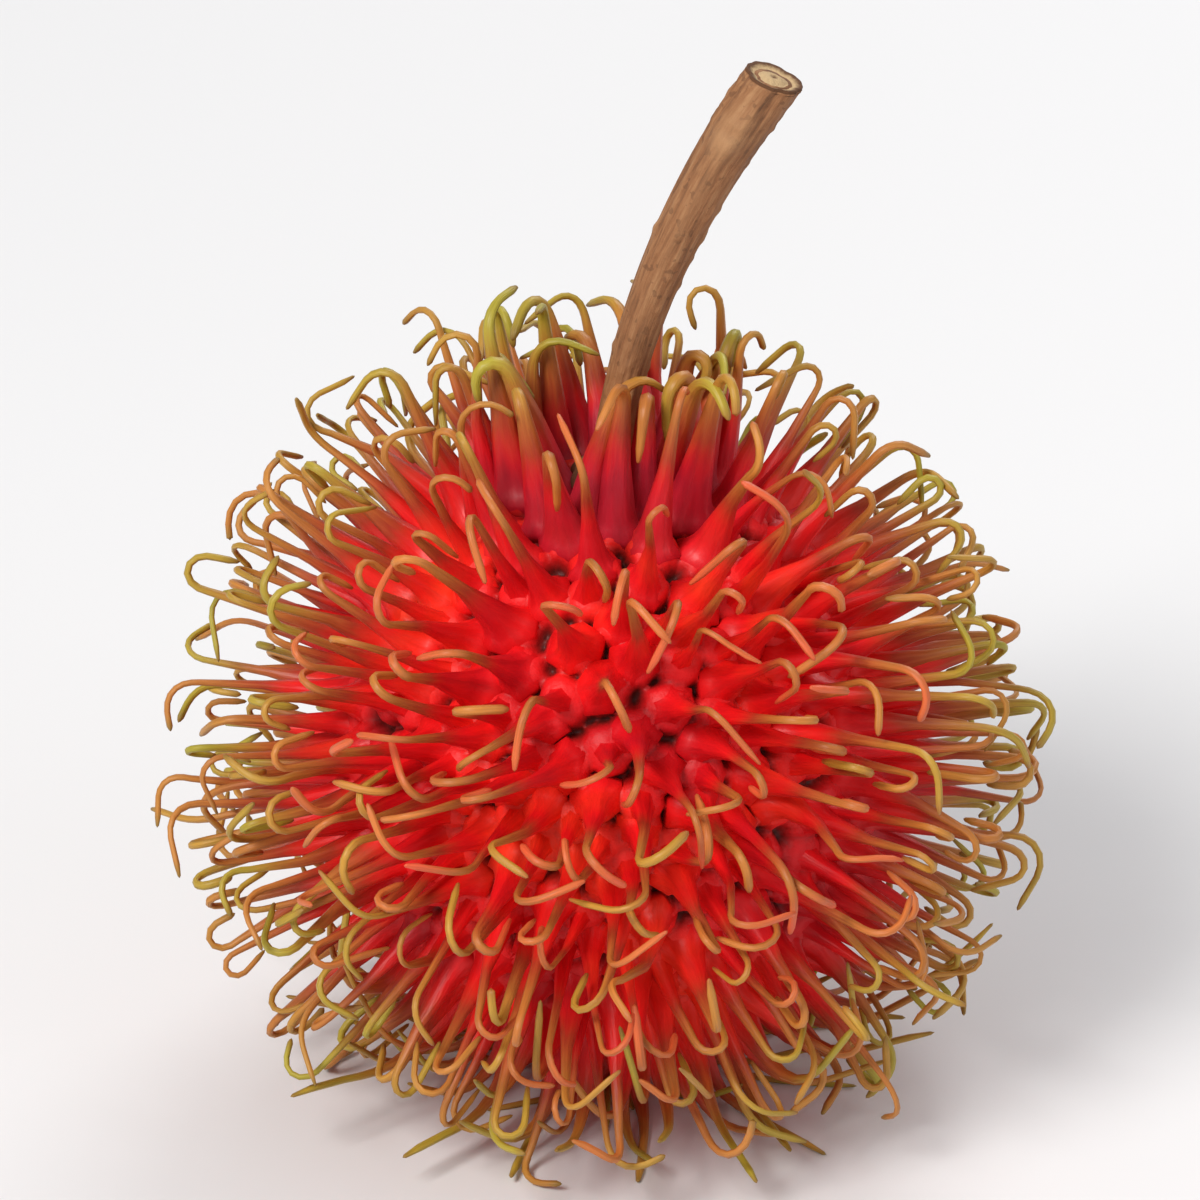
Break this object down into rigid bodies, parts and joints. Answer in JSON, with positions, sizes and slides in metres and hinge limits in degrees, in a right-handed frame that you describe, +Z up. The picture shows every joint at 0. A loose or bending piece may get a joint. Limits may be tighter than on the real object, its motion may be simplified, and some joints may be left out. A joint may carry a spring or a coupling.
{
  "type": "rambutan",
  "caption": "Whole ripe rambutan fruit with a red leathery rind covered in soft curling hairs with yellow-green tips, standing upright with its own short woody stalk.",
  "frame": {"origin": "on the table under the middle of the fruit, on the pressed underside of the hair that lies across the fruit's blossom end", "axes": "+Z up through the fruit from the blossom end to the stalk, +X the way the stalk leans, +Y away from the viewer of the picture"},
  "size_m": [0.0615, 0.0605, 0.0758],
  "materials": {
    "rind": "crimson to orange-red soft leathery skin, hairs fading through ochre to yellow-green tips, moist sheen",
    "bark": "dull light brown bark with fine lengthwise grain and small pale specks"
  },
  "bodies": {
    "root": {"fruit": "rind", "stalk": "bark"}
  },
  "joints": []
}
